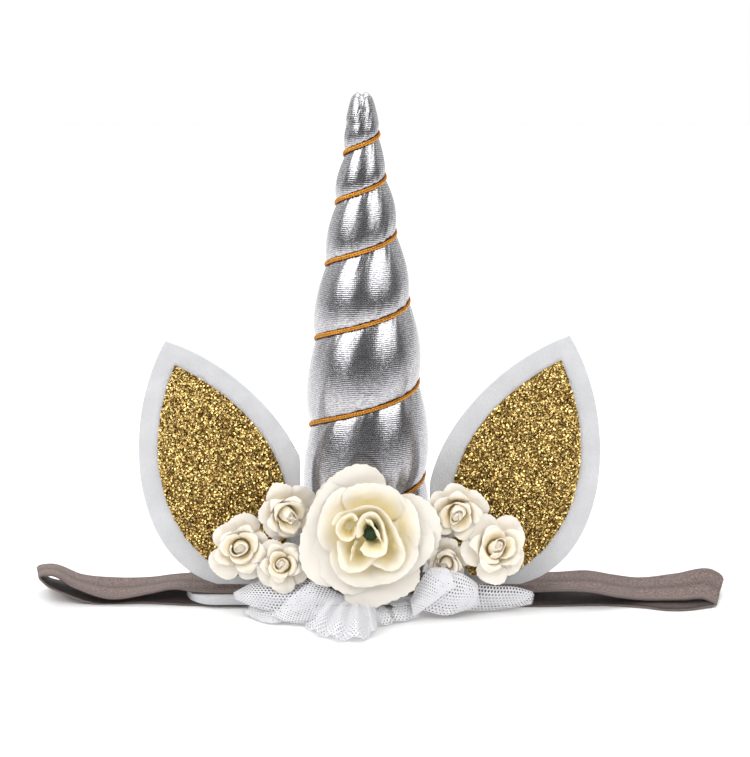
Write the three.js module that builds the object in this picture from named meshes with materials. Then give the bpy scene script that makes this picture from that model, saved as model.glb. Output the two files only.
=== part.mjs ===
// A unicorn horn headband: a stuffed silver horn wound with gold cord, two felt ears with glitter linings,
// artificial roses and a net ruffle, on a felt pad that a flattened loop of elastic crosses.
// Millimetres, +Z up, front towards -Y. The lower run of the elastic lies on z = 0.
import * as THREE from 'three';

const GAP = 0.3;
const LEAN = THREE.MathUtils.degToRad(8);

// Elastic loop: the rows follow its centre line, along the lower run from the left and back along the upper
// run. tilt is in degrees and lifts the edge at the back.
const BAND_WIDTH = 15;
const BAND_WALL = 1.2;
const BAND_STEPS_PER_ROW = 3;
const BAND_LIES_FLAT = 0.02;
const BAND_ROUTE = [
  { x: -90, y: -0.2, z: 3.2, tilt: 0 },
  { x: -82, y: -0.2, z: 0.6, tilt: 0 },
  { x: -68, y: 0.4, z: 0.6, tilt: 0 },
  { x: -53, y: -1.3, z: 0.6, tilt: 0 },
  { x: -36, y: -1.6, z: 0.6, tilt: 0 },
  { x: 30, y: -1.8, z: 0.6, tilt: 0 },
  { x: 56, y: -2.1, z: 0.6, tilt: 0 },
  { x: 71, y: -1.4, z: 0.6, tilt: 0 },
  { x: 83, y: -3.0, z: 0.6, tilt: 0 },
  { x: 91, y: -5.3, z: 0.6, tilt: 0 },
  { x: 104, y: -3.4, z: 1.1, tilt: 2 },
  { x: 107.2, y: -2.4, z: 2.3, tilt: 10 },
  { x: 104.5, y: -1.8, z: 4.0, tilt: 14 },
  { x: 95, y: -1.5, z: 3.3, tilt: 9 },
  { x: 83, y: -1.5, z: 2.7, tilt: 3 },
  { x: 76, y: -3.6, z: 5.2, tilt: 3 },
  { x: 67, y: -5, z: 7.6, tilt: 2 },
  { x: 59, y: -3.6, z: 6.6, tilt: -1 },
  { x: 49, y: -1.5, z: 4.8, tilt: 0 },
  { x: 25, y: -1.5, z: 4.8, tilt: 0 },
  { x: -25, y: -1.5, z: 4.8, tilt: 0 },
  { x: -50, y: -1.5, z: 4.8, tilt: 0 },
  { x: -58, y: -1.5, z: 5.0, tilt: -6 },
  { x: -65, y: -1.5, z: 3.8, tilt: -4 },
  { x: -77, y: -1.5, z: 2.9, tilt: 2 },
  { x: -87, y: -1.5, z: 5.2, tilt: -7 },
  { x: -95, y: -1.5, z: 8.9, tilt: -10 },
  { x: -98.8, y: -1, z: 8.1, tilt: -8 },
  { x: -97, y: -0.5, z: 6.1, tilt: -4 },
];

// Felt pad between the two runs, with its back edge bent down to the table.
const PAD_CENTRE_X = -2;
const PAD_LENGTH = 104;
const PAD_FRONT = -11.2;
const PAD_BACK = 24;
const PAD_CORNER = 9;
const PAD_WALL = 2.4;
const PAD_LIFT = BAND_WALL + GAP;
const PAD_BEND = { start: 15, end: 23 };
const PAD_ROWS = 12;
const PAD_COLUMNS = 6;

// Horn: radius at each share of the length, counted from the tip.
const HORN_LENGTH = 146.5;
const HORN_BASE = { x: 0.9, y: 5, z: PAD_LIFT + PAD_WALL + BAND_WALL + 2 * GAP };
const HORN_TIP_SHIFT = -1.8;
const HORN_ROOT = 8;
const HORN_SIDES = 22;
const HORN_WINDINGS = { first: -2, last: 8 };
const HORN_PROFILE = [
  { share: 0, radius: 0 },
  { share: 0.012, radius: 2.6 },
  { share: 0.035, radius: 4.0 },
  { share: 0.07, radius: 5.0 },
  { share: 0.12, radius: 5.9 },
  { share: 0.2, radius: 8.4 },
  { share: 0.3, radius: 11.1 },
  { share: 0.4, radius: 14.1 },
  { share: 0.5, radius: 16.4 },
  { share: 0.6, radius: 17.7 },
  { share: 0.7, radius: 18.7 },
  { share: 0.85, radius: 19.4 },
  { share: 0.95, radius: 19.2 },
  { share: 1, radius: 17.6 },
];

// Cord: distance from the horn's tip after each turn is start + first * turn + growth * turn squared.
const CORD_DIAMETER = 1.5;
const CORD_SIDES = 8;
const CORD_STEPS = 130;
const CORD_TURNS = { from: -0.4, to: 5.8 };
const CORD_PITCH = { start: 12.8, first: 10.6, growth: 1.97 };
const CORD_CLEARANCE = 0.62;

// Puffs between the windings: the cord draws the cloth in by groove and a share of the radius, and by less at
// the tip, where the groove deepens from tipStart to tipEnd. A skew over 1 makes a puff fullest low down.
const PUFF = { groove: 1.2, share: 0.075, tipShare: 0.24, tipStart: 3, tipEnd: 9, skew: 1.4, fullness: 0.6 };
const PUFF_STEPS = [0, 0.1, 0.3, 0.52, 0.74, 0.91];
const PUFF_MIDDLE = 0.5;

// Ears: leaves with a pointed tip, standing on the elastic, leaning back and, by spread in degrees, outwards.
const EAR_WALL = 2.4;
const EAR_Y = -4;
const EAR_SINK = 0.5;
const EAR_TO_HORN = 19.4;
const EAR_CURVE_STEPS = 12;
const EARS = [
  { side: 'left', sign: -1, footX: 30.5, length: 79.8, spread: 21.2 },
  { side: 'right', sign: 1, footX: 34.1, length: 80.6, spread: 19.4 },
];
const EAR_LEAF = { shoulder: [0.315, 0.25], belly: [0.484, 0.9] };
const LINING_WALL = 0.9;
const LINING_LEAF = { shoulder: [0.387, 0.417], belly: [0.264, 0.86] };
const LINING_LENGTH_SHARE = 0.898;
const LINING_TIP_INSET = 7.7;
const LINING_EDGE_INSET = 1.6;

// Petals: a layer is a bowl of round lobes. The notch between lobes and the lap over the next one are shares
// of the layer's radius, and the steps are places across one lobe.
const LOBE_NOTCH = 0.26;
const LOBE_LAP = 0.06;
const LOBE_ROUNDNESS = 0.6;
const LOBE_STEPS = [0.03, 0.2, 0.4, 0.6, 0.8, 0.97];
const SMALL_LOBE_STEPS = [0.04, 0.35, 0.65, 0.96];

// Turned pieces of the flowers: shares of their radius and of their height.
const BUD_PROFILE = [[0, 0], [0.55, 0.1], [1, 0.5], [0.75, 0.85], [0, 1]];
const CALYX_PROFILE = [[0, 0], [0.45, 0], [1, 1], [0, 1]];

// Large rose. All heights are along the flower's axis.
const ROSE_PLACE = { x: 1.8, y: -16, z: 27.3, pitch: 12, yaw: 0 };
const ROSE_WALL = 1;
const ROSE_ROWS = 3;
const ROSE_LAYERS = [
  { name: 'rose_petals_outer', lobes: 5, hub: 2.5, radius: 21.3, base: 0, rise: 4.5, curve: 1.3, turn: 18 },
  { name: 'rose_petals_second', lobes: 5, hub: 2.5, radius: 17.6, base: 1.5, rise: 7, curve: 1.4, turn: 54 },
  { name: 'rose_petals_inner', lobes: 5, hub: 2.5, radius: 11.2, base: 3, rise: 9, curve: 1.2, turn: 0 },
  { name: 'rose_bud', lobes: 3, hub: 2, radius: 6.2, base: 4.6, rise: 8, curve: 1, turn: 30 },
];
const ROSE_CENTRE = { bottom: 5, top: 8.4, radius: 1.6, sides: 8 };
const ROSE_CALYX = { bottom: -3.2, top: -1.3, radius: 4, sides: 12 };

// Small roses: places of their hubs, and where they face, in degrees up and towards +X.
const SMALL_WALL = 0.8;
const SMALL_ROWS = 2;
const SMALL_LAYERS = [
  { name: 'petals', lobes: 5, hub: 1.5, radius: 9.3, base: 0, rise: 3, curve: 1.3, turn: 0 },
  { name: 'cup', lobes: 4, hub: 1.5, radius: 6.1, base: 1.3, rise: 4.8, curve: 1.2, turn: 40 },
];
const SMALL_BUD = { bottom: 2.4, top: 7.2, radius: 2.3, sides: 8 };
const SMALL_CALYX = { bottom: -4.7, top: -1.1, radius: 1.7, sides: 8 };
const SMALL_ROSES = [
  { name: 'left_1', x: -24.6, y: -9.4, z: 31.6, pitch: 0, yaw: 14, turn: 10, size: 0.97 },
  { name: 'left_2', x: -37.2, y: -10.9, z: 20.6, pitch: 8, yaw: 6, turn: 35, size: 0.95 },
  { name: 'left_3', x: -23.8, y: -14.6, z: 16, pitch: 14, yaw: -6, turn: 55, size: 0.85 },
  { name: 'right_1', x: 27.4, y: -9.4, z: 32, pitch: 2, yaw: 2, turn: 20, size: 1 },
  { name: 'right_2', x: 39.4, y: -12.2, z: 19.4, pitch: 20, yaw: 6, turn: 5, size: 0.92 },
  { name: 'right_3', x: 25, y: -12.2, z: 17, pitch: -2, yaw: -8, turn: 40, size: 0.74 },
];

// Net ruffle: each lobe runs from a short gather to a free edge curved through three handles.
const NET_WALL = 1;
const NET_COLUMNS = 14;
const NET_ROWS = 4;
const NET_NUDGE = 0.01;
const NET_LOBES = [
  {
    name: 'tulle_left', gather: [-16, -15, 4.6], spread: 3, lift: 2.2, pleats: 2.5, depth: 0.9,
    edge: [[-40, -13.2, 7.5], [-38, -24, 1.4], [-20, -22.5, 2.1]],
  },
  {
    name: 'tulle_centre', gather: [-3, -15.5, 4.2], spread: 5, lift: 2.2, pleats: 3, depth: 0.9,
    edge: [[-17.5, -26.5, 2.1], [-4, -48, 1.8], [5, -26, 2.1]],
  },
  {
    name: 'tulle_tab', gather: [9, -15, 4], spread: 2, lift: 1.5, pleats: 1.5, depth: 0.6,
    edge: [[7.2, -22.5, 1.8], [12, -26, 1.6], [15.5, -18, 1.8]],
  },
  {
    name: 'tulle_right', gather: [18, -18.5, 4.6], spread: 2.5, lift: 0.6, pleats: 2.5, depth: 0.8,
    edge: [[25, -22.5, 12.6], [76, -10.5, 5], [28, -21, 1.9]],
  },
];

const SILVER = { color: 0xb9babd, roughness: 0.32, metalness: 0.9 };
const GOLD_CORD = { color: 0xc8842a, roughness: 0.4, metalness: 0.6 };
const FELT = { color: 0xe6e9ec, roughness: 0.95, metalness: 0 };
const GLITTER = { color: 0xa87c2e, roughness: 0.35, metalness: 0.8 };
const ELASTIC = { color: 0x7d6b66, roughness: 0.85, metalness: 0 };
const SILK = { color: 0xf3eee0, roughness: 0.8, metalness: 0 };
const PAPER = { color: 0xf0e8da, roughness: 0.9, metalness: 0 };
const LEAF_GREEN = { color: 0x1d3a22, roughness: 0.8, metalness: 0 };
const NET = { color: 0xe9e9ec, roughness: 0.8, metalness: 0 };

const part = new THREE.Group();

function addPiece(parent, name, geometry, finish) {
  const piece = new THREE.Mesh(geometry, new THREE.MeshStandardMaterial(finish));
  piece.name = name;
  parent.add(piece);
  return piece;
}

// A closed solid: points in the same place are merged, flat triangles dropped and the faces turned outwards.
function solid(points, triangles) {
  const seen = new Map();
  const vertices = [];
  const merged = points.map((point) => {
    const key = point.toArray().map((value) => value.toFixed(4)).join();
    if (!seen.has(key)) {
      seen.set(key, vertices.length);
      vertices.push(point);
    }
    return seen.get(key);
  });
  const faces = triangles
    .map((triangle) => triangle.map((corner) => merged[corner]))
    .filter(([a, b, c]) => a !== b && b !== c && c !== a);
  const volume = faces.reduce(
    (sum, [a, b, c]) => sum + vertices[a].dot(vertices[b].clone().cross(vertices[c])), 0);
  if (volume < 0) {
    faces.forEach((face) => face.reverse());
  }
  const geometry = new THREE.BufferGeometry().setFromPoints(vertices);
  geometry.setIndex(faces.flat());
  geometry.computeVertexNormals();
  return geometry;
}

function quad(a, b, c, d) {
  return [[a, b, c], [a, c, d]];
}

// A wall with a face and a back, each a grid of points. A closed grid joins its last column to its first and
// has its first row filled to the middle; an open one gets all four borders.
function wall(faceAt, backAt, columns, rows, closed) {
  const across = closed ? columns : columns + 1;
  const points = [];
  for (const pointAt of [faceAt, backAt]) {
    for (let row = 0; row <= rows; row += 1) {
      for (let column = 0; column < across; column += 1) {
        points.push(pointAt(column / columns, row / rows));
      }
    }
  }
  const back = across * (rows + 1);
  const at = (column, row) => row * across + (column % across);
  const triangles = [];
  const join = (a, b) => triangles.push(...quad(a, b, b + back, a + back));
  for (let column = 0; column < columns; column += 1) {
    for (let row = 0; row < rows; row += 1) {
      const corners = [at(column, row), at(column, row + 1), at(column + 1, row + 1), at(column + 1, row)];
      triangles.push(...quad(...corners));
      triangles.push(...quad(...corners.map((corner) => corner + back).reverse()));
    }
    join(at(column + 1, rows), at(column, rows));
    if (!closed) {
      join(at(column, 0), at(column + 1, 0));
    }
  }
  if (closed) {
    for (const [start, flipped] of [[0, false], [back, true]]) {
      const ring = points.slice(start, start + across);
      const sum = ring.reduce((total, point) => total.add(point), new THREE.Vector3());
      const middle = points.push(sum.divideScalar(across)) - 1;
      for (let column = 0; column < columns; column += 1) {
        const fan = [middle, start + at(column, 0), start + at(column + 1, 0)];
        triangles.push(flipped ? fan.reverse() : fan);
      }
    }
  } else {
    for (let row = 0; row < rows; row += 1) {
      join(at(0, row + 1), at(0, row));
      join(at(columns, row), at(columns, row + 1));
    }
  }
  return solid(points, triangles);
}

// A sheet of cloth of even thickness, moved back from a surface along its normal.
function clothSheet(surface, columns, rows, thickness) {
  const backAt = (u, v) => {
    const along = surface(u + NET_NUDGE, v).sub(surface(u - NET_NUDGE, v));
    const up = surface(u, v + NET_NUDGE).sub(surface(u, v - NET_NUDGE));
    return surface(u, v).addScaledVector(along.cross(up).normalize(), -thickness);
  };
  return wall(surface, backAt, columns, rows, false);
}

// Value of a table at a place between its rows, on a straight line from one row to the next.
function between(table, key, value, place) {
  const last = table.findIndex((row) => row[key] >= place);
  if (last <= 0) {
    return table[last < 0 ? table.length - 1 : 0][value];
  }
  const [from, to] = [table[last - 1], table[last]];
  return THREE.MathUtils.mapLinear(place, from[key], to[key], from[value], to[value]);
}

// Elastic loop
function bandGeometry() {
  const route = new THREE.CatmullRomCurve3(
    BAND_ROUTE.map(({ x, y, z }) => new THREE.Vector3(x, y, z)), true, 'centripetal');
  const count = BAND_ROUTE.length * BAND_STEPS_PER_ROW;
  const corners = [[-1, -1], [1, -1], [1, 1], [-1, 1]];
  const points = [];
  const triangles = [];
  for (let step = 0; step < count; step += 1) {
    const share = step / count;
    const row = Math.floor(step / BAND_STEPS_PER_ROW);
    const next = BAND_ROUTE[(row + 1) % BAND_ROUTE.length];
    const blend = (step % BAND_STEPS_PER_ROW) / BAND_STEPS_PER_ROW;
    const tilt = THREE.MathUtils.degToRad(THREE.MathUtils.lerp(BAND_ROUTE[row].tilt, next.tilt, blend));
    const centre = route.getPoint(share);
    centre.z = Math.max(centre.z, BAND_WALL / 2);
    const along = route.getTangent(share);
    if (centre.z < BAND_WALL / 2 + BAND_LIES_FLAT) {
      along.set(1, 0, 0);
    }
    const across = new THREE.Vector3(0, Math.cos(tilt), Math.sin(tilt));
    const inward = along.cross(across).normalize();
    for (const [side, face] of corners) {
      const point = centre.clone()
        .addScaledVector(across, side * BAND_WIDTH / 2)
        .addScaledVector(inward, face * BAND_WALL / 2);
      points.push(point.setZ(Math.max(point.z, 0)));
    }
    const following = ((step + 1) % count) * corners.length;
    corners.forEach((_, corner) => {
      const beside = (corner + 1) % corners.length;
      const here = step * corners.length;
      triangles.push(...quad(here + corner, here + beside, following + beside, following + corner));
    });
  }
  return solid(points, triangles);
}

addPiece(part, 'elastic_band', bandGeometry(), ELASTIC);

// Felt pad
function padGeometry() {
  const halfLength = (depth) => {
    const past = Math.max(PAD_FRONT + PAD_CORNER - depth, depth - (PAD_BACK - PAD_CORNER), 0);
    return PAD_LENGTH / 2 - PAD_CORNER + Math.sqrt(PAD_CORNER ** 2 - past ** 2);
  };
  const depthAt = (v) => {
    const eased = 0.5 - 0.5 * Math.cos(Math.PI * v);
    return THREE.MathUtils.lerp(PAD_FRONT, PAD_BACK, eased);
  };
  const undersideAt = (u, v) => {
    const depth = depthAt(v);
    const lift = PAD_LIFT * (1 - THREE.MathUtils.smoothstep(depth, PAD_BEND.start, PAD_BEND.end));
    return new THREE.Vector3(PAD_CENTRE_X + (2 * u - 1) * halfLength(depth), depth, lift);
  };
  const topAt = (u, v) => undersideAt(u, v).add(new THREE.Vector3(0, 0, PAD_WALL));
  return wall(topAt, undersideAt, PAD_COLUMNS, PAD_ROWS, false);
}

addPiece(part, 'base_pad', padGeometry(), FELT);

// Horn and its cord. Turns are counted down from the tip, and the cord crosses the front from right to left.
const tipDistance = (turns) => CORD_PITCH.start + CORD_PITCH.first * turns + CORD_PITCH.growth * turns ** 2;

function hornPoint(distance, angle, radius) {
  const height = HORN_LENGTH - distance;
  const settled = 1 - Math.exp(-height / HORN_ROOT);
  const lean = LEAN * settled;
  return new THREE.Vector3(
    HORN_BASE.x + HORN_TIP_SHIFT * height / HORN_LENGTH + radius * Math.cos(angle),
    HORN_BASE.y + Math.sin(LEAN) * (height - HORN_ROOT * settled) + radius * Math.sin(angle) * Math.cos(lean),
    HORN_BASE.z + Math.cos(LEAN) * height - radius * Math.sin(angle) * Math.sin(lean));
}

function hornRadius(distance, puff) {
  const full = between(HORN_PROFILE, 'share', 'radius', distance / HORN_LENGTH);
  const groove = Math.min(PUFF.groove + PUFF.share * full, PUFF.tipShare * full)
    * THREE.MathUtils.smoothstep(distance, PUFF.tipStart, PUFF.tipEnd);
  const fullness = Math.sin(Math.PI * puff ** PUFF.skew) ** PUFF.fullness;
  return full - groove * (1 - fullness);
}

// The cloth is a strip wound along the same spiral as the cord, so the groove runs along its rows.
function hornGeometry() {
  const rows = (HORN_WINDINGS.last - HORN_WINDINGS.first) * PUFF_STEPS.length;
  const points = [];
  for (let row = 0; row <= rows; row += 1) {
    const puff = PUFF_STEPS[row % PUFF_STEPS.length];
    const winding = HORN_WINDINGS.first + Math.floor(row / PUFF_STEPS.length) + puff;
    for (let side = 0; side < HORN_SIDES; side += 1) {
      const share = side / HORN_SIDES;
      const distance = THREE.MathUtils.clamp(tipDistance(winding - share), 0, HORN_LENGTH);
      const settledPuff = distance < HORN_LENGTH ? puff : PUFF_MIDDLE;
      points.push(hornPoint(distance, 2 * Math.PI * share, hornRadius(distance, settledPuff)));
    }
  }
  const rowAt = (row) => THREE.MathUtils.clamp(row, 0, rows);
  const at = (row, side) => (side < HORN_SIDES
    ? rowAt(row) * HORN_SIDES + side
    : rowAt(row - PUFF_STEPS.length) * HORN_SIDES);
  const triangles = [];
  for (let row = 0; row < rows; row += 1) {
    for (let side = 0; side < HORN_SIDES; side += 1) {
      triangles.push(...quad(at(row, side), at(row + 1, side), at(row + 1, side + 1), at(row, side + 1)));
    }
  }
  const foot = points.push(hornPoint(HORN_LENGTH, 0, 0)) - 1;
  for (let side = 0; side < HORN_SIDES; side += 1) {
    triangles.push([foot, rows * HORN_SIDES + ((side + 1) % HORN_SIDES), rows * HORN_SIDES + side]);
  }
  return solid(points, triangles);
}

function cordGeometry() {
  const points = [];
  for (let step = 0; step <= CORD_STEPS; step += 1) {
    const turns = THREE.MathUtils.lerp(CORD_TURNS.from, CORD_TURNS.to, step / CORD_STEPS);
    const distance = tipDistance(turns);
    const radius = hornRadius(distance, 0) + CORD_CLEARANCE + CORD_DIAMETER / 2;
    points.push(hornPoint(distance, -2 * Math.PI * turns, radius));
  }
  const section = new THREE.Shape();
  section.absarc(0, 0, CORD_DIAMETER / 2, 0, 2 * Math.PI);
  return new THREE.ExtrudeGeometry(section, {
    steps: CORD_STEPS,
    curveSegments: CORD_SIDES / 2,
    bevelEnabled: false,
    extrudePath: new THREE.CatmullRomCurve3(points),
  });
}

addPiece(part, 'horn', hornGeometry(), SILVER);
addPiece(part, 'horn_cord', cordGeometry(), GOLD_CORD);

// Ears: a leaf is two curves from its foot to its tip, cut level at the foot and upright beside the horn.
function leafOutline(length, { shoulder, belly }) {
  const tip = new THREE.Vector2(0, length);
  const foot = new THREE.Vector2(0, 0);
  const sides = [1, -1].map((sign) => new THREE.CubicBezierCurve(
    tip,
    new THREE.Vector2(sign * shoulder[0] * length, (1 - shoulder[1]) * length),
    new THREE.Vector2(sign * belly[0] * length, (1 - belly[1]) * length),
    foot));
  const [right, left] = sides.map((side) => side.getPoints(EAR_CURVE_STEPS));
  return [...right, ...left.reverse().slice(1, -1)];
}

// Keeps the part of an outline where distance(point) is positive.
function keptSide(outline, distance) {
  const kept = [];
  outline.forEach((point, index) => {
    const next = outline[(index + 1) % outline.length];
    const [here, there] = [distance(point), distance(next)];
    if (here >= 0) {
      kept.push(point);
    }
    if (here * there < 0) {
      kept.push(point.clone().lerp(next, here / (here - there)));
    }
  });
  return kept;
}

function earPlate(ear, leaf, length, alongAxis, inset, thickness) {
  const spread = ear.sign * THREE.MathUtils.degToRad(ear.spread);
  const axis = new THREE.Vector2(Math.sin(spread), Math.cos(spread));
  const foot = new THREE.Vector2(ear.sign * ear.footX, 0).addScaledVector(axis, alongAxis);
  const standing = leafOutline(length, leaf)
    .map((point) => point.rotateAround(new THREE.Vector2(), -spread).add(foot));
  const level = keptSide(standing, (point) => point.y - inset);
  const beside = keptSide(level, (point) => ear.sign * point.x - EAR_TO_HORN - inset);
  return new THREE.ExtrudeGeometry(new THREE.Shape(beside), { depth: thickness, bevelEnabled: false });
}

for (const ear of EARS) {
  const stand = new THREE.Group();
  stand.position.set(0, EAR_Y, HORN_BASE.z + GAP);
  stand.rotation.x = Math.PI / 2 - LEAN;
  part.add(stand);
  addPiece(stand, `ear_${ear.side}`, earPlate(ear, EAR_LEAF, ear.length, -EAR_SINK, 0, EAR_WALL), FELT);
  const liningLength = ear.length * LINING_LENGTH_SHARE;
  const liningFoot = ear.length - LINING_TIP_INSET - liningLength - EAR_SINK;
  const plate = earPlate(ear, LINING_LEAF, liningLength, liningFoot, LINING_EDGE_INSET, LINING_WALL);
  addPiece(stand, `ear_lining_${ear.side}`, plate, GLITTER).position.z = EAR_WALL + GAP;
}

// Flowers: a layer of petals is one piece of round lobes, each lapping over the next.
function petalLayer(layer, thickness, lobeSteps, rows) {
  const lap = LOBE_LAP * layer.radius;
  const columns = layer.lobes * lobeSteps.length;
  const pointAt = (offset) => (u, v) => {
    const column = Math.round(u * columns) % columns;
    const lobe = Math.floor(column / lobeSteps.length);
    const place = lobeSteps[column % lobeSteps.length];
    const angle = THREE.MathUtils.degToRad(layer.turn) + 2 * Math.PI * (lobe + place) / layer.lobes;
    const reach = layer.radius * (1 - LOBE_NOTCH * (1 - Math.sin(Math.PI * place) ** LOBE_ROUNDNESS));
    const run = THREE.MathUtils.lerp(layer.hub, reach, v);
    const share = (run - layer.hub) / (layer.radius - layer.hub);
    const height = layer.base + layer.rise * share ** layer.curve + lap * share * (place - 0.5);
    const steepness = layer.rise * layer.curve * share ** (layer.curve - 1) / (layer.radius - layer.hub);
    const slope = Math.atan(v > 0 ? steepness : 0);
    const radius = run + offset * Math.sin(slope);
    return new THREE.Vector3(
      radius * Math.cos(angle), radius * Math.sin(angle), height - offset * Math.cos(slope));
  };
  return wall(pointAt(0), pointAt(thickness), columns, rows, true);
}

function turned(profile, { bottom, top, radius, sides }) {
  const height = top - bottom;
  const outline = profile.map(([r, h]) => new THREE.Vector2(r * radius, bottom + h * height));
  return new THREE.LatheGeometry(outline, sides).rotateX(Math.PI / 2);
}

// A flower's own axis is its +Z. Its group turns that axis to the front, then up and sideways, and the flower
// about it.
function flowerGroup({ x, y, z, pitch, yaw, turn = 0, size = 1 }) {
  const group = new THREE.Group();
  const [up, sideways, about] = [pitch, yaw, turn].map((angle) => THREE.MathUtils.degToRad(angle));
  group.position.set(x, y, z);
  group.scale.setScalar(size);
  group.rotation.set(Math.PI / 2 - up, 0, sideways, 'ZXY');
  group.rotateZ(about);
  part.add(group);
  return group;
}

const rose = flowerGroup(ROSE_PLACE);
for (const layer of ROSE_LAYERS) {
  addPiece(rose, layer.name, petalLayer(layer, ROSE_WALL, LOBE_STEPS, ROSE_ROWS), SILK);
}
addPiece(rose, 'rose_centre', turned(BUD_PROFILE, ROSE_CENTRE), LEAF_GREEN);
addPiece(rose, 'rose_calyx', turned(CALYX_PROFILE, ROSE_CALYX), LEAF_GREEN);

for (const place of SMALL_ROSES) {
  const flower = flowerGroup(place);
  const name = `small_rose_${place.name}`;
  for (const layer of SMALL_LAYERS) {
    const petals = petalLayer(layer, SMALL_WALL, SMALL_LOBE_STEPS, SMALL_ROWS);
    addPiece(flower, `${name}_${layer.name}`, petals, PAPER);
  }
  addPiece(flower, `${name}_bud`, turned(BUD_PROFILE, SMALL_BUD), PAPER);
  addPiece(flower, `${name}_calyx`, turned(CALYX_PROFILE, SMALL_CALYX), LEAF_GREEN);
}

// Net ruffle
function netLobe({ gather, spread, lift, pleats, depth, edge }) {
  const [first, handle, last] = edge.map((point) => new THREE.Vector3(...point));
  const freeEdge = new THREE.QuadraticBezierCurve3(first, handle, last);
  const start = new THREE.Vector3(...gather);
  const gatherLine = last.clone().sub(first).normalize().multiplyScalar(spread);
  const surface = (u, v) => {
    const from = start.clone().addScaledVector(gatherLine, u - 0.5);
    const point = from.lerp(freeEdge.getPoint(u), v);
    point.z += lift * Math.sin(Math.PI * v) + depth * v * Math.sin(2 * Math.PI * pleats * u);
    return point;
  };
  return clothSheet(surface, NET_COLUMNS, NET_ROWS, NET_WALL);
}

for (const lobe of NET_LOBES) {
  addPiece(part, lobe.name, netLobe(lobe), NET);
}

export default part;
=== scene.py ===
"""Looks of the unicorn horn headband, in metres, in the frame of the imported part.

Shapes are worked out in millimetres and scaled once, where a mesh gets its points. Front is -Y, up is +Z.
"""

import math
from types import SimpleNamespace as Plan

import bpy
import numpy as np
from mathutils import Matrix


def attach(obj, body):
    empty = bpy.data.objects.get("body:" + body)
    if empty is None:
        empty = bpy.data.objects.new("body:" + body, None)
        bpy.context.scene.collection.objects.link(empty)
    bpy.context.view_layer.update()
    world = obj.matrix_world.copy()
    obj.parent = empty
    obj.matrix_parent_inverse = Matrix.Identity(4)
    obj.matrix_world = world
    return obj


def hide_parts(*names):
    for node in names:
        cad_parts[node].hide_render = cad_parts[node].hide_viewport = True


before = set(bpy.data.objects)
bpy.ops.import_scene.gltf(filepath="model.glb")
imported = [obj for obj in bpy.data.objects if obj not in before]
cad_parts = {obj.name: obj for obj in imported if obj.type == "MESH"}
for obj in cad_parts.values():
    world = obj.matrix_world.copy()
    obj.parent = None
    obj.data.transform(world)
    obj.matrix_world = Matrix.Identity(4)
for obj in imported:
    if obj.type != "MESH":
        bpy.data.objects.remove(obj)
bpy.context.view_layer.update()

MM = 0.001
TURN = 2 * math.pi
rng = np.random.default_rng(11)


def plans(columns, *rows):
    """The rows of a table as plans, with the values named by its columns."""
    return [Plan(**dict(zip(columns.split(), row))) for row in rows]


# Camera and light
IMAGE_HEIGHT = 757
MM_PER_PIXEL = 0.3
SENSOR = 36
CAMERA = Plan(elevation=18, distance=0.8, target=(0.003, 0.010, 0.066))
FLOOR_SIZE = 1.3
FLOOR_COLOUR = (0.93, 0.93, 0.93, 1)
WHITE = (1, 1, 1, 1)
SOFTBOXES = plans(
    "name azimuth elevation distance size power gloss",
    ("left_softbox", -58, 42, 1.0, 0.8, 7.4, True),
    ("right_softbox", 48, 42, 1.0, 0.72, 5.4, True),
    ("top_softbox", 180, 64, 2.7, 3.8, 80, True),
    ("front_fill", -6, 34, 2.0, 1.6, 7, False),
)
# The dome is dim in front and bright behind, and the camera sees it white all round
DOME = Plan(front=0.04, back=0.8, turn=(-0.2, 0.4))

# Horn and cord
LEAN = math.radians(8)
HORN = Plan(length=146.5, x=0.9, y=5.0, z=5.7, tip_shift=-1.8, root=8.0)
HORN_PROFILE = [
    (0, 2.1), (0.012, 2.9), (0.035, 4.0), (0.07, 5.0), (0.12, 5.9), (0.2, 8.4), (0.3, 11.1), (0.4, 14.1),
    (0.5, 16.4), (0.6, 17.7), (0.7, 18.7), (0.85, 19.4), (0.95, 19.2), (1, 17.6),
]
HORN_TIP = Plan(round=2.4, cleft=1.3, cleft_width=0.8, cleft_depth=4.0)
HORN_GRID = (168, 430)
HORN_BASE = 0.985
PUFF = Plan(groove=1.2, groove_share=0.075, tip_share=0.24, skew=1.2, fullness=0.5, starts=(-0.45, -0.2))
CREASES = Plan(height=0.2, reach=3.2, lean=2 / 3, full_radius=12, waves=(6.3, 9.7, 13.9, 18.1, 24.7, 31.3))
LUMPS = Plan(height=0.22, waves=(2.3, 3.9, 5.7))
CORD_PITCH = Plan(start=12.8, first=10.6, growth=1.97)
CORD_TURNS = (-0.32, 5.8)
CORD = Plan(radius=0.64, sink=0.55, wrap=0.9, wrap_height=0.22, samples=2000, grid=(9, 4400))

# Ears
FELT_EDGE = Plan(width=0.7, segments=3, angle=50)
EAR = Plan(y=-4.0, z=6.0, wall=2.4, to_horn=19.4, sink=0.5, grid=(44, 72))
EAR_AXES = np.array([[1, 0, 0], [0, math.sin(LEAN), math.cos(LEAN)], [0, -math.cos(LEAN), math.sin(LEAN)]])
EARS = [
    Plan(side="left", sign=-1, foot=30.5, length=79.8, spread=21.2),
    Plan(side="right", sign=1, foot=34.1, length=80.6, spread=19.4),
]
# Handles of a leaf's edge from its tip to its foot: half width and height as shares of its length
EAR_LEAF = [(0, 1), (0.315, 0.75), (0.484, 0.1), (0, 0)]
LINING_LEAF = [(0, 1), (0.387, 0.583), (0.264, 0.14), (0, 0)]
LEAF_SAMPLES = 600
LEVELS = 400
LINING = Plan(share=0.898, tip_inset=7.7, edge_inset=2.8, wall=0.5, grid=(30, 50))
FLAKES = Plan(count=15000, corners=6, radius=0.27, sizes=(0.75, 1.2), tilt=40, lift=(0.05, 0.45))

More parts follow.
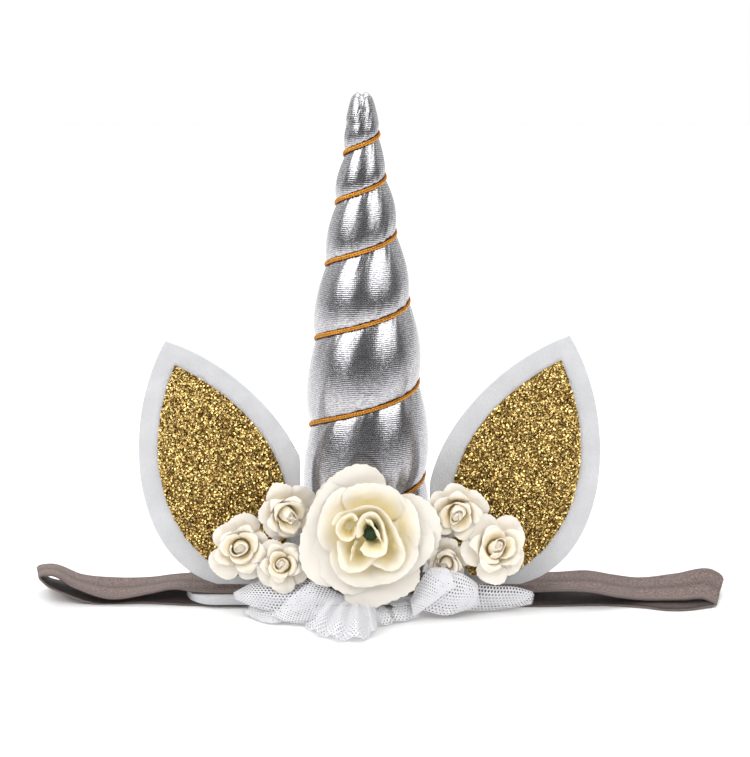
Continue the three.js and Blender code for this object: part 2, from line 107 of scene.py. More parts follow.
# Elastic loop: rows of x, y, z and tilt in degrees, which lifts the back edge
BAND = Plan(
    width=15.0, wall=1.1, groove=0.2, groove_width=0.6, roundness=(0.5, 0.32),
    bead=0.16, bead_from=(0.8, 0.93), hollow=0.08, selvage=(0.84, 0.93), inside=(0, 0.1),
    least_height=0.02, grid=(64, 460),
)
BAND_ENDS = [Plan(span=(-88, -97), skew=-0.16), Plan(span=(96, 106), skew=0.26)]
BAND_ROUTE = [
    (-90, -0.2, 2.2, -9), (-82, -0.2, 0.6, 0), (-68, 0.4, 0.6, 0), (-53, -1.3, 0.6, 0), (-36, -1.6, 0.6, 0),
    (-10, -1.7, 0.6, 0), (30, -1.8, 0.6, 0), (56, -2.1, 0.6, 0), (71, -1.4, 0.6, 0), (83, -3.0, 0.6, 0),
    (91, -5.3, 0.6, 0), (104, -3.4, 1.1, 2), (107.2, -2.4, 2.3, 10), (104.5, -1.8, 4.0, 14),
    (95, -1.5, 3.3, 9), (83, -1.5, 2.7, 3), (76, -3.3, 4.3, 3), (67, -4.6, 6.4, 2), (59, -3.4, 5.8, -1),
    (49, -1.5, 4.8, 0), (25, -1.5, 4.8, 0), (-25, -1.5, 4.8, 0), (-50, -1.5, 4.8, 0), (-58, -1.5, 5.0, -6),
    (-65, -1.5, 3.8, -4), (-77, -1.5, 2.9, 2), (-87, -1.5, 5.2, -7), (-95, -1.5, 8.9, -10),
    (-98.8, -1.0, 7.9, -11), (-97, -0.5, 5.2, -12),
]

# Felt pad
PAD = Plan(x=-2.0, length=104.0, front=-11.2, back=24.0, corner=9.0, wall=2.4, lift=1.5)
PAD_BEND = (15.0, 23.0)
PAD_GRID = (90, 34)

# Petals: how much they differ, and the heights and counts of the waves along their edges
PETAL = Plan(
    side=0.985, fray=(0.007, 0.013), bend=0.05, bend_wave=3, lopsided=0.12,
    point_width=0.3, waver=((0.03, 5),), fray_waves=((1, 37), (0.5, 83)),
    ruffles=((1, 3, 4.3), (0.35, 4, 11)),
)
SILK = Plan(grid=(84, 26), wall=0.12)
PAPER = Plan(grid=(36, 20), wall=0.18)

# Large rose: each petal is (angle, reach, half spread, base), angles in degrees as seen from the front
ROSE = Plan(hub=(1.8, -16.0, 27.3), facing=(12, 0, 0), size=0.95, lean=(0, 0))
ROSE_LAYERS = [
    Plan(
        node="rose_petals_outer", hub=3.0, rise=4.4, roll=98, flare=0.95, cup=1.2,
        ruffle=0.6, taper=0.3, edge=3.2, curl=1.0, back=0, point=0, tone=0, fade=2.2,
        petals=[
            (115, 21.6, 48, 0.2), (10, 21.2, 46, 0.0), (-74, 23.2, 48, 0.1), (198, 23.0, 46, 0.3),
            (152, 20.6, 46, 0.9), (-128, 20.6, 48, 0.8), (-24, 19.2, 48, 1.0),
        ],
    ),
    Plan(
        node="rose_petals_second", hub=5.0, rise=7.4, roll=94, flare=0.85, cup=2.4,
        ruffle=0.8, taper=0.34, edge=3.0, curl=1.2, back=0, point=0, tone=0.02, fade=1.0,
        petals=[
            (158, 17.0, 56, 0.0), (84, 16.2, 54, 0.9), (14, 15.6, 50, 0.0), (-48, 16.4, 46, 1.0),
            (-112, 16.8, 52, 0.3),
        ],
    ),
]
ROLL = Plan(
    grid=(72, 24), lip_from=0.7, opening=0.8, arch=0.51, fade=0.9,
    crimps=((0.2, 13), (0.07, 47)), edges=((0.6, 5), (0.25, 17)),
)
# Rolled petals at the heart: rim points across and up from the hub, drawn in to the foot round a middle
ROSE_ROLLS = [
    Plan(node="rose_petals_inner", tone=0.1, rolls=[
        Plan(middle=(0, 2), shrink=0.55, base=2.0, top=10.6, lip=0.25, rim=[
            (-11.8, 3.6), (-9.8, 6.9), (-5.6, 7.9), (-2.4, 8.9), (1.1, 8.9), (3.9, 7.8), (5.8, 5.4),
            (7.3, 2.2), (8.7, -1.2), (10.2, -4.4),
        ]),
        Plan(middle=(0, 0), shrink=0.5, base=1.6, top=9.6, lip=0.3, rim=[
            (-10.2, -1.8), (-10.1, -5.2), (-9.2, -8.8), (-7.2, -11.0), (-4.6, -11.5), (-2.0, -10.5),
            (0.6, -8.3), (2.2, -6.5),
        ]),
        Plan(middle=(0, 0), shrink=0.5, base=1.4, top=9.0, lip=0.3, rim=[
            (-0.6, -8.4), (2.2, -10.1), (5.2, -10.9), (8.2, -10.1), (10.0, -7.2), (10.2, -3.9), (9.2, -0.8),
        ]),
    ]),
    Plan(node="rose_bud", tone=0.2, rolls=[
        Plan(middle=(0.5, 0.3), shrink=0.42, base=3.6, top=12.0, lip=0.25, rim=[
            (-3.2, -3.4), (-1.2, -5.4), (1.6, -6.2), (4.0, -5.4), (4.8, -2.7), (4.6, 0.5), (4.0, 3.6),
            (2.4, 6.3), (0, 7.3), (-2.5, 6.4), (-4.0, 3.8), (-4.0, -0.2),
        ]),
        Plan(middle=(-0.6, -0.5), shrink=0.5, base=4.0, top=11.4, lip=0.1, rim=[
            (-1.7, 5.6), (0.4, 4.3), (1.8, 2.2), (2.7, -0.2), (4.0, -2.3),
        ]),
        Plan(middle=(-6.4, 2.2), shrink=0.4, base=4.4, top=11.4, lip=0.25, rim=[
            (-4.1, 5.2), (-5.4, 6.8), (-7.3, 6.6), (-9.3, 5.1), (-10.4, 2.7), (-10.2, 0.2), (-8.6, -1.3),
            (-6.7, -1.4), (-5.1, -0.3), (-4.3, 2.7),
        ]),
        Plan(middle=(-2.0, -3.5), shrink=0.6, base=3.0, top=10.0, lip=0.1, rim=[
            (-4.8, -1.5), (-5.6, -3.5), (-6.1, -5.6), (-6.2, -7.8),
        ]),
    ]),
]
# Shares of the radius and the height, from the foot to the top
CORE_SHARES = [(0, 0), (0.7, 0.1), (1, 0.45), (0.85, 0.8), (0.4, 0.97), (0, 1)]
CALYX_SHARES = [(0, 0), (0.4, 0.02), (0.5, 0.4), (1, 0.95), (0.9, 1), (0, 1)]
# Heart colour of a spun core from its foot to its top: its own cream tone and painted glow
CORE_DEPTH = Plan(foot=0.6, fall=0.4)
ROSE_CORE = Plan(bottom=3.4, top=8.0, radius=2.3, grid=(24, 16))
ROSE_CALYX = Plan(bottom=-3.2, top=-1.0, radius=4.0, grid=(24, 14))

# Small roses: facing is in degrees up, towards +X and about their own axis, and lean moves their hearts
LEAN_HEIGHT = 6.0
SMALL_ROSES = plans(
    "name hub facing size lean",
    ("left_1", (-24.6, -9.4, 31.6), (0, 14, 10), 0.97, (0.9, -0.7)),
    ("left_2", (-37.0, -10.9, 20.6), (8, 6, 35), 1.03, (-0.2, 0.7)),
    ("left_3", (-23.8, -14.6, 16.0), (14, -6, 55), 0.85, (0.4, 0.8)),
    ("right_1", (27.4, -9.4, 32.0), (2, 2, 20), 1.0, (-0.7, -0.4)),
    ("right_2", (38.2, -12.2, 19.8), (20, 6, 5), 1.04, (0.6, 0.9)),
    ("right_3", (25.0, -12.2, 17.0), (-2, -8, 40), 0.74, (-0.8, 0.4)),
)
SMALL_LAYERS = [
    Plan(part="petals", count=5, hub=1.6, reach=9.9, spread=46, base=0.2, rise=2.8, roll=112, flare=0.95,
         cup=1.4, back=0.0, point=0.02, ruffle=0.6, taper=0.36, edge=2.6, curl=1.0, tone=0, fade=2.2),
    Plan(part="cup", count=5, hub=1.9, reach=7.4, spread=48, base=0.6, rise=5.0, roll=108, flare=0.85,
         cup=2.6, back=0.7, point=0.14, ruffle=0.5, taper=0.5, edge=1.9, curl=1.3, tone=0.04, fade=1.2),
    Plan(part="cup", count=3, hub=2.6, reach=5.3, spread=70, base=2.0, rise=4.2, roll=114, flare=1.2,
         cup=2.2, back=0.5, point=0.12, ruffle=0.5, taper=0.42, edge=2.0, curl=1.0, tone=0.08, fade=1.0),
]
SMALL_PETALS = Plan(angle=10, reach=(0.84, 1.08), spread=(0.9, 1.1), step=0.7)
SMALL_BUD = Plan(
    base=1.2, top=6.9, heart_rise=0.7, edge_wave=0.5, radius=3.2, heart=0.4, turns=1.6,
    tuck=0.3, wobble=0.18, waist=0.55, arch=0.62, grid=(64, 14), tone=0.15, fade=1.2,
)
SMALL_CORE = Plan(bottom=1.0, top=6.6, radius=2.2, grid=(20, 12))
SMALL_CALYX = Plan(bottom=-4.7, top=-0.8, radius=1.7, grid=(16, 12))
LEAF = Plan(taper=0.8, cup=0.5, arch=0.8, grid=(10, 14), wall=0.3)
LEAF_BITS = plans(
    "rose place length width turn",
    ("right_3", (20.9, -9.4, 21.2), 5.2, 2.6, 30),
    ("right_3", (20.0, -10.4, 15.6), 6.0, 2.6, -8),
    ("left_1", (-16.9, -8.6, 33.9), 5.0, 2.4, -28),
    ("left_3", (-16.7, -13.0, 12.6), 5.0, 2.4, 40),
    ("left_3", (-29.6, -11.0, 13.9), 5.5, 2.6, -20),
)

# Net: each sheet runs from an inner line to an outer line
NET = Plan(cell=1.1, thread=0.12)
NET_FOLD = Plan(share=0.7, inner=0.35, least_height=0.25)
NET_SHEETS = plans(
    "node bulge pleats depth scallop hole size inner outer",
    ("tulle_left", (0, -2.0, 1.2), 1.5, 0.5, 0.06, 0.58, (26, 11),
     [(-14, -14.5, 10.5), (-22, -14, 10.8), (-32, -14, 10.2), (-39, -14, 6.8)],
     [(-15, -19.5, 3.5), (-22, -20.5, 3.0), (-31, -19.5, 3.2), (-38.5, -15.5, 5.2)]),
    ("tulle_left", (0, -1.0, -0.4), 1, 0.3, 0.06, 0.58, (24, 7),
     [(-15, -17, 4.2), (-24, -18, 3.6), (-34, -16, 4.0)],
     [(-17.5, -21, 0.9), (-28.5, -23, 0.8), (-36.5, -16, 1.2)]),
    ("tulle_left", (0, -1.4, 1.6), 1, 0.5, 0.06, 0.58, (14, 20),
     [(-14.5, -20.5, 13.6), (-10, -21.5, 10.8), (-4, -22.4, 8.2)],
     [(-28, -22.6, 2.2), (-23, -24.2, 1.6), (-18, -25, 1.5)]),
    ("tulle_centre", (0, -1.0, 2.4), 4.5, 1.9, 0.1, 0.58, (30, 21),
     [(-9, -21.5, 8.6), (-3, -22, 7.2), (2, -22, 6.0)],
     [(-17.6, -27.5, 1.2), (-15.6, -30.5, 1.1), (-11, -35.2, 1.1), (-4.3, -37.4, 1.2),
      (1, -35.2, 1.2), (3.9, -27, 1.7)]),
    ("tulle_tab", (0, -0.6, 0.3), 1.5, 0.3, 0.06, 0.58, (6, 7),
     [(2.5, -20.5, 5.5), (6, -20, 4.8)],
     [(3.3, -23.5, 0.8), (6, -24.6, 0.7), (8.6, -24, 0.8)]),
    ("tulle_tab", (0, -0.6, 0.3), 1.5, 0.3, 0.06, 0.58, (8, 7),
     [(8, -18.5, 5), (13, -17.5, 5)],
     [(8.8, -22.5, 0.9), (12, -21.8, 0.9), (16.4, -19.3, 1.0)]),
    ("tulle_right", (0, -1.2, 0.4), 0.5, 0.4, 0.06, 0.38, (18, 11),
     [(13.5, -20, 6.6), (16, -19.5, 12), (19.5, -19, 16.4), (24.5, -18.6, 16.4)],
     [(14.5, -21.6, 2.4), (17, -22, 4.2), (20.5, -22, 6.6), (27, -20.6, 11)]),
    ("tulle_right", (0, -1.8, 0), 1, 0.4, 0.06, 0.46, (16, 12),
     [(23, -18.4, 16.2), (28.7, -17.6, 14.2), (33.5, -16.8, 10.6)],
     [(17.5, -19.6, 3.2), (26, -19.6, 1.6), (33.5, -17, 3.6)]),
    ("tulle_right", (0, -1.2, 0), 1.5, 0.3, 0.06, 0.58, (24, 8),
     [(30, -15, 10), (38, -14.5, 9), (45, -13.8, 8.3), (50.4, -13, 6.3)],
     [(27, -16.5, 1.6), (35, -14.5, 1.2), (43, -14.2, 1.4), (49.6, -14, 3.0)]),
)

# Finishes: counts of threads and loops on a whole piece, and how far they stray
SILVER = Plan(ribs=250, sway=14, threads=150, streak=(1, 1, 2.4))
# outer turns the cord's painted highlight to face outwards, with painted shade on its sides
GIMP = Plan(strands=2, filaments=2100, outer=0.25)
KNIT = Plan(ribs=60, loops=620, slant=30)
VEINS = Plan(count=17, sway=5)
FELT_FIBRE = (1, 0.35, 0.6)

# Meshes
WELD = 1e-6
SMOOTH_ANGLE = math.radians(50)


def linear(red, green, blue):
    """A colour given in display values from 0 to 255, as the renderer's own values."""
    shares = np.array([red, green, blue]) / 255
    return (*np.where(shares < 0.04045, shares / 12.92, ((shares + 0.055) / 1.055) ** 2.4), 1)


def operator_pair(operation):
    """Methods of Wire for an operator and its reflected form."""
    return (
        lambda self, other: self.maths(operation, self, other),
        lambda self, other: self.maths(operation, other, self),
    )


class Wire:
    """A shader socket. Arithmetic on it adds Math nodes to its tree."""

    __add__, __radd__ = operator_pair("ADD")
    __sub__, __rsub__ = operator_pair("SUBTRACT")
    __mul__, __rmul__ = operator_pair("MULTIPLY")
    __pow__, __rpow__ = operator_pair("POWER")

    def __init__(self, wiring, socket):
        self.wiring = wiring
        self.socket = socket

    def maths(self, operation, *values):
        return self.wiring.node("Math", {"operation": operation}, dict(enumerate(values)))

    def wave(self):
        return self.maths("SINE", self) * 0.5 + 0.5

    def clamped(self):
        return self.maths("MINIMUM", self.maths("MAXIMUM", self, 0), 1)

    def between(self, low, high):
        return self.wiring.ramp(self, (low, high), (0, 1))


class Wiring:
    """The nodes of a material or of the dome."""

    def __init__(self, tree):
        self.tree = tree

    def node(self, kind, settings, values, output=0):
        node = self.tree.nodes.new("ShaderNode" + kind)
        for setting, value in settings.items():
            setattr(node, setting, value)
        for socket, value in values.items():
            self.plug(node.inputs[socket], value)
        return Wire(self, node.outputs[output])

    def plug(self, socket, value):
        if isinstance(value, Wire):
            self.tree.links.new(value.socket, socket)
        else:
            socket.default_value = value

    def coordinates(self, output):
        return self.node("TexCoord", {}, {}, output)

    def ramp(self, value, start, end):
        ends = {"From Min": start[0], "From Max": start[1], "To Min": end[0], "To Max": end[1]}
        return self.node("MapRange", {"interpolation_type": "SMOOTHSTEP"}, {"Value": value, **ends})


class Finish(Wiring):
    """A material: constants go on the shader's own sockets, and wires are added to the others."""

    def __init__(self, name, **constants):
        self.material = bpy.data.materials.new(name)
        self.material.use_nodes = True
        super().__init__(self.material.node_tree)
        self.shader = self.tree.nodes["Principled BSDF"]
        for socket, value in constants.items():
            self.shader.inputs[socket.replace("_", " ").title()].default_value = value

    def uv(self):
        apart = self.node("SeparateXYZ", {}, {0: self.coordinates("UV")})
        outputs = apart.socket.node.outputs
        return Wire(self, outputs[0]), Wire(self, outputs[1])

    def attribute(self, name):
        return self.node("Attribute", {"attribute_name": name}, {}, "Fac")

    def noise(self, scale, detail, stretch=(1, 1, 1)):
        place = self.node("Mapping", {}, {"Vector": self.coordinates("Object"), "Scale": stretch})
        return self.node("TexNoise", {}, {"Vector": place, "Scale": scale, "Detail": detail})

    def mixed(self, share, first, second):
        """A blend of two colours, each given as a wire or in display values."""
        first, second = (linear(*tone) if isinstance(tone, tuple) else tone for tone in (first, second))
        return self.node("Mix", {"data_type": "RGBA"}, {"Factor": share, 6: first, 7: second}, 2)

    def bump(self, height, distance):
        values = {"Height": height, "Distance": distance}
        self.plug(self.shader.inputs["Normal"], self.node("Bump", {}, values))

    def colour(self, share, first, second):
        self.plug(self.shader.inputs["Base Color"], self.mixed(share, first, second))

    def roughness(self, value):
        self.plug(self.shader.inputs["Roughness"], value)


def silver_finish():
    """Woven metallic cloth: fine level ribs, crossed by threads, with a slightly uneven shine."""
    finish = Finish("silver_lame", metallic=0.92)
    around, along = finish.uv()
    ribs = (along * (TURN * SILVER.ribs) + finish.noise(90, 3) * SILVER.sway).wave()
    threads = (around * (TURN * SILVER.threads)).wave()
    streaks = finish.noise(1300, 3, SILVER.streak).between(0.3, 0.7)
    patches = finish.noise(70, 3)
    shine = ribs * 0.4 + streaks * 0.5 + 0.05
    finish.colour(shine, (108, 107, 110), (216, 215, 218))
    finish.roughness(0.16 + patches * 0.12 + (1 - streaks) * 0.04)
    finish.bump(ribs * 0.6 + threads * 0.15 + streaks * 0.25, 0.00003)
    return finish.material


def cord_finish():
    """Metallic gimp: filaments laid at a slant, with a painted highlight along the outside of the cord and
    painted shade along its sides.
    """
    finish = Finish("gold_gimp", metallic=0.9)
    around, along = finish.uv()
    filaments = (around * (TURN * GIMP.strands) + along * (TURN * GIMP.filaments)).wave()
    # Painted highlight and shade: light along the outside of the cord, dark along its sides where it meets
    # the horn.
    outer = ((around + GIMP.outer) * TURN).wave().between(0.66, 1.0)
    tone = finish.noise(220, 2)
    shine = outer * (0.5 + filaments * 0.2 + tone * 0.3)
    finish.colour(shine, (98, 14, 0), (255, 186, 80))
    finish.roughness(0.14 + 0.14 * tone)
    finish.bump(filaments, 0.00012)
    return finish.material


def felt_finish():
    """Pressed white fibres, a little mottled."""
    finish = Finish("white_felt", roughness=0.95, sheen_weight=0.25, sheen_roughness=0.5)
    mottle = finish.noise(140, 4)
    fibres = finish.noise(2600, 4, FELT_FIBRE)
    finish.colour(mottle * 0.6 + fibres * 0.4, (176, 177, 180), (216, 216, 218))
    finish.bump(fibres * 0.7 + mottle, 0.0003)
    return finish.material


def glitter_finish():
    """Foil flakes: each one has its own tone."""
    finish = Finish("gold_glitter", metallic=1.0)
    finish.colour(finish.attribute("tone"), (100, 64, 12), (252, 222, 142))
    finish.roughness(0.12 + 0.22 * finish.noise(700, 1))
    return finish.material


def grained_finish(name, grain, dark, light, relief, height, **constants):
    """A plain material: one noise in its colour and one in its relief, each given as scale and detail."""
    finish = Finish(name, **constants)
    finish.colour(finish.noise(*grain), dark, light)
    finish.bump(finish.noise(*relief), height)
    return finish.material


def elastic_finish():
    """Knitted fold-over elastic: ribs, loops, a fold line and stitched selvages, with painted shade on the
    inside face of the loop.
    """
    finish = Finish("taupe_elastic", sheen_weight=0.05)
    around, along = finish.uv()
    ribs = (around * (TURN * KNIT.ribs)).wave()
    loops = (along * (TURN * KNIT.loops) + around * (TURN * KNIT.slant)).wave()
    tone = finish.noise(260, 3)
    grain = finish.noise(1900, 3).between(0.34, 0.66)
    selvage = finish.attribute("selvage")
    knit = loops * 0.12 + tone * 0.2 + grain * 0.68
    ground = finish.mixed(knit, (70, 56, 51), (142, 122, 115))
    worn = finish.mixed(selvage * (0.35 + 0.65 * loops), ground, (156, 140, 134))
    outside = finish.mixed(finish.attribute("fold") * 0.5, worn, (60, 48, 45))
    # Painted shade: the inside face of the loop is coloured a darker brown to stand for the shade inside the
    # loop.
    lining = finish.mixed(knit, (44, 32, 29), (92, 74, 68))
    finish.colour(finish.attribute("inside"), outside, lining)
    finish.roughness(0.62 + 0.25 * tone)
    finish.bump(ribs * 0.2 + loops * 0.4 + grain * 0.6 + selvage * loops, 0.0003)
    return finish.material


def petal_finish(name, rim, heart, fibre_scale, heart_power):
    """Petals: pale at the rim, with faint veins and fibres; towards the heart a cream tone of their own,
    brightened by painted glow of light shining through the petals.
    """
    finish = Finish(
        name, roughness=0.72, sheen_weight=0.15, subsurface_weight=0.2, subsurface_radius=(1, 1, 1),
        subsurface_scale=0.0008)
    around, along = finish.uv()
    depth = finish.attribute("depth")
    veins = (around * (TURN * VEINS.count) + finish.noise(160, 2) * VEINS.sway).wave()
    fibres = finish.noise(fibre_scale, 4)
    # Heart colour by depth: partly the petals' own cream tone, partly painted glow of light shining through
    # the petals into the shaded heart.
    deep = (depth ** heart_power + (fibres - 0.5) * 0.18).clamped()
    finish.colour(deep, rim, heart)
    finish.bump(fibres * 0.6 + veins * (1 - along) * 0.25, 0.00007)
    return finish.material


def smooth(knots, rows, places):
    """Values on a smooth curve through the rows, at places measured along the knots."""
    knots = np.asarray(knots, float)
    rows = np.asarray(rows, float).reshape(len(knots), -1)
    slopes = np.gradient(rows, knots, axis=0)
    places = np.asarray(places, float)
    left = np.clip(np.searchsorted(knots, places, side="right") - 1, 0, len(knots) - 2)
    step = (knots[left + 1] - knots[left])[:, None]
    t = (places - knots[left])[:, None] / step
    return (
        (1 + 2 * t) * (1 - t) ** 2 * rows[left] + t * (1 - t) ** 2 * step * slopes[left]
        + t * t * (3 - 2 * t) * rows[left + 1] + t * t * (t - 1) * step * slopes[left + 1]
    )


def line_knots(rows):
    steps = np.linalg.norm(np.diff(rows[:, :3], axis=0), axis=1)
    return np.concatenate([[0], np.cumsum(steps)])


def on_line(rows, shares):
    """Points at shares of the length of a smooth open line."""
    rows = np.asarray(rows, float)
    knots = line_knots(rows)
    return smooth(knots, rows, np.asarray(shares) * knots[-1])


def on_loop(rows, shares):
    """Points at shares of the length of a smooth closed line."""
    rows = np.asarray(rows, float)
    spare = 3
    padded = np.concatenate([rows[-spare:], rows, rows[:spare + 1]])
    knots = line_knots(padded)
    start, length = knots[spare], knots[spare + len(rows)] - knots[spare]
    return smooth(knots, padded, start + np.asarray(shares) * length)


def ripple(places, rows, phases):
    """A sum of sine waves, each given as its height and its count."""
    return sum(height * np.sin(count * places + phase) for (height, count), phase in zip(rows, phases))


def waves(places, counts, spread):
    """A sum of sine waves with random phases, about as tall as spread."""
    phases = rng.uniform(0, TURN, len(counts))
    heights = rng.uniform(0.5, 1, len(counts))
    return spread * ripple(places, zip(heights, counts), phases) / math.sqrt(len(counts))


def smoothstep(value, low, high):
    t = np.clip((value - low) / (high - low), 0, 1)
    return t * t * (3 - 2 * t)


def placed(x, y, z):
    return np.stack(np.broadcast_arrays(x, y, z), axis=-1)


def polar(radius, angle, height):
    return placed(radius * np.cos(angle), radius * np.sin(angle), height)


def turned(angle, axis):
    """A rotation matrix about x or z."""
    c, s = math.cos(angle), math.sin(angle)
    return np.array([[1, 0, 0], [0, c, -s], [0, s, c]] if axis == "x" else [[c, -s, 0], [s, c, 0], [0, 0, 1]])


def pick(*pieces):
    bpy.ops.object.select_all(action="DESELECT")
    for piece in pieces:
        piece.select_set(True)
    bpy.context.view_layer.objects.active = pieces[0]


def welded(piece):
    """Merges points that lie together and turns the faces outwards."""
    pick(piece)
    bpy.ops.object.mode_set(mode="EDIT")
    bpy.ops.mesh.select_all(action="SELECT")
    bpy.ops.mesh.remove_doubles(threshold=WELD)
    bpy.ops.mesh.normals_make_consistent(inside=False)
    bpy.ops.object.mode_set(mode="OBJECT")
    return piece


def modified(piece, kind, **settings):
    """Adds a modifier and applies it."""
    pick(piece)
    modifier = piece.modifiers.new(kind.lower(), kind)
    for setting, value in settings.items():
        setattr(modifier, setting, value)
    bpy.ops.object.modifier_apply(modifier=modifier.name)
    return piece


def thickened(piece, thickness):
    return modified(piece, "SOLIDIFY", thickness=thickness * MM, offset=0, use_even_offset=False)


def ease_edges(piece):
    """Rounds the cut edges of a piece of felt."""
    angle = math.radians(FELT_EDGE.angle)
    modified(
        piece, "BEVEL", width=FELT_EDGE.width * MM, segments=FELT_EDGE.segments, limit_method="ANGLE",
        angle_limit=angle)


def shaped(name, columns, rows, surface, weld=False, **attributes):
    """A grid laid on surface(u, v), which takes arrays of shares and gives points in millimetres.

    Each attribute is a function of u and v, kept on the points for the material.
    """
    bpy.ops.mesh.primitive_grid_add(x_subdivisions=columns, y_subdivisions=rows, size=1)
    piece = bpy.context.object
    piece.name = piece.data.name = name
    flat = np.empty(len(piece.data.vertices) * 3)
    piece.data.vertices.foreach_get("co", flat)
    u, v = flat.reshape(-1, 3)[:, 0] + 0.5, flat.reshape(-1, 3)[:, 1] + 0.5
    piece.data.vertices.foreach_set("co", (surface(u, v) * MM).ravel())
    for attribute, values in attributes.items():
        layer = piece.data.attributes.new(attribute, "FLOAT", "POINT")
        layer.data.foreach_set("value", np.asarray(values(u, v), float))
    piece.data.update()
    return welded(piece) if weld else piece


def joined(name, pieces):
    pick(*pieces)
    if len(pieces) > 1:
        bpy.ops.object.join()
    piece = bpy.context.object
    piece.name = piece.data.name = name
    return piece


def from_arrays(name, points, faces):
    mesh = bpy.data.meshes.new(name)
    mesh.from_pydata((points * MM).tolist(), [], faces.tolist())
    piece = bpy.data.objects.new(name, mesh)
    bpy.context.collection.objects.link(piece)
    return piece


def finished(piece, material, node):
    """Gives a piece its material and its body, and hides the CAD part of the node that it stands for."""
    piece.data.materials.clear()
    piece.data.materials.append(material)
    pick(piece)
    bpy.ops.object.shade_smooth_by_angle(angle=SMOOTH_ANGLE)
    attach(piece, "root")
    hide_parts(node)


# Horn
def turns_at(distance):
    """Turns of the cord from its start to a distance below the tip."""
    first, growth = CORD_PITCH.first, CORD_PITCH.growth
    root = np.maximum(first ** 2 + 4 * growth * (distance - CORD_PITCH.start), 0)
    return (np.sqrt(root) - first) / (2 * growth)


def distance_at(turns):
    return CORD_PITCH.start + CORD_PITCH.first * turns + CORD_PITCH.growth * turns ** 2


def horn_point(distance, angle, radius):
    """A point of the horn in the part's frame: it stands up from its foot and leans back."""
    height = HORN.length - distance
    settled = 1 - np.exp(-height / HORN.root)
    lean = LEAN * settled
    rise = height - HORN.root * settled
    return placed(
        HORN.x + HORN.tip_shift * height / HORN.length + radius * np.cos(angle),
        HORN.y + math.sin(LEAN) * rise + radius * np.sin(angle) * np.cos(lean),
        HORN.z + math.cos(LEAN) * height - radius * np.sin(angle) * np.sin(lean),
    )


def horn_profile(distance):
    """Radius of the horn over its puffs, at distances below the tip."""
    shares, radii = np.transpose(HORN_PROFILE)
    full = smooth(shares, radii, distance / HORN.length)[:, 0]
    tip = np.clip(distance / HORN_TIP.round, 0, 1)
    return full * np.sqrt(1 - (1 - tip) ** 2)


def puffed(distance, puff):
    """Radius of the horn at shares of the way across a puff, from cord to cord."""
    fullness = np.sin(np.pi * puff ** PUFF.skew) ** PUFF.fullness
    full = horn_profile(distance)
    groove = np.minimum(PUFF.groove + PUFF.groove_share * full, PUFF.tip_share * full)
    groove = groove * smoothstep(turns_at(distance), *PUFF.starts)
    return full - groove * (1 - fullness)


def horn_surface(u, v):
    angle = TURN * u
    distance = np.minimum(v / HORN_BASE, 1) * HORN.length
    turns = turns_at(distance)
    winding = turns + u
    strip = np.floor(winding)
    puff = winding - strip
    along = angle - TURN * strip
    pitch = CORD_PITCH.first + 2 * CORD_PITCH.growth * turns
    from_cord = np.minimum(puff, 1 - puff) * pitch
    size = np.minimum(horn_profile(distance) / CREASES.full_radius, 1)
    creases = waves(along + CREASES.lean * puff, CREASES.waves, CREASES.height)
    lumps = waves(along, LUMPS.waves, LUMPS.height) * np.sin(np.pi * puff)
    radius = puffed(distance, puff)
    radius = radius + size * (creases * np.exp(-from_cord / CREASES.reach) + lumps)
    radius = radius * np.where(v > HORN_BASE, (1 - v) / (1 - HORN_BASE), 1)
    radius = radius * np.where(v > 0, 1, 0)
    points = horn_point(distance, angle, radius)
    beside = radius * np.cos(angle) / HORN_TIP.cleft_width
    points[:, 2] -= HORN_TIP.cleft * np.exp(-beside ** 2) * np.exp(-distance / HORN_TIP.cleft_depth)
    return points


def build_horn():
    horn = shaped("horn_cloth", *HORN_GRID, horn_surface, weld=True)
    finished(horn, silver_finish(), "horn")


def build_cord():
    """A round cord wrapped with fine metallic thread, lying in the groove."""
    def groove(turns):
        """Distance, angle and radius of the cord's middle line."""
        distance = distance_at(turns)
        return distance, -TURN * turns, puffed(distance, np.zeros_like(turns)) + CORD.sink

    run = np.linspace(*CORD_TURNS, CORD.samples)
    lengths = line_knots(horn_point(*groove(run)))

    def surface(u, v):
        length = lengths[-1] * v
        turns = np.interp(length, lengths, run)
        distance, angle, radius = groove(turns)
        centre = horn_point(distance, angle, radius)
        outward = horn_point(distance, angle, radius + 1) - centre
        nudge = 1e-4
        ahead = horn_point(distance_at(turns + nudge), angle - TURN * nudge, radius) - centre
        beside = np.cross(ahead / np.linalg.norm(ahead, axis=1)[:, None], outward)
        around = TURN * u
        wrap = CORD.wrap_height * np.abs(np.sin(np.pi * length / CORD.wrap + around / 2))
        thick = (CORD.radius + wrap) * np.where((v > 0) & (v < 1), 1, 0)
        out, aside = thick * np.cos(around), thick * np.sin(around)
        return centre + out[:, None] * outward + aside[:, None] * beside

    cord = shaped("horn_cord_gimp", *CORD.grid, surface, weld=True)
    finished(cord, cord_finish(), "horn_cord")


# Ears
def leaf_half(leaf, length, v):
    """Half width and height of a leaf at shares from its tip to its foot."""
    weights = np.stack([(1 - v) ** 3, 3 * v * (1 - v) ** 2, 3 * v * v * (1 - v), v ** 3], axis=-1)
    return (weights @ np.array(leaf)).T * length


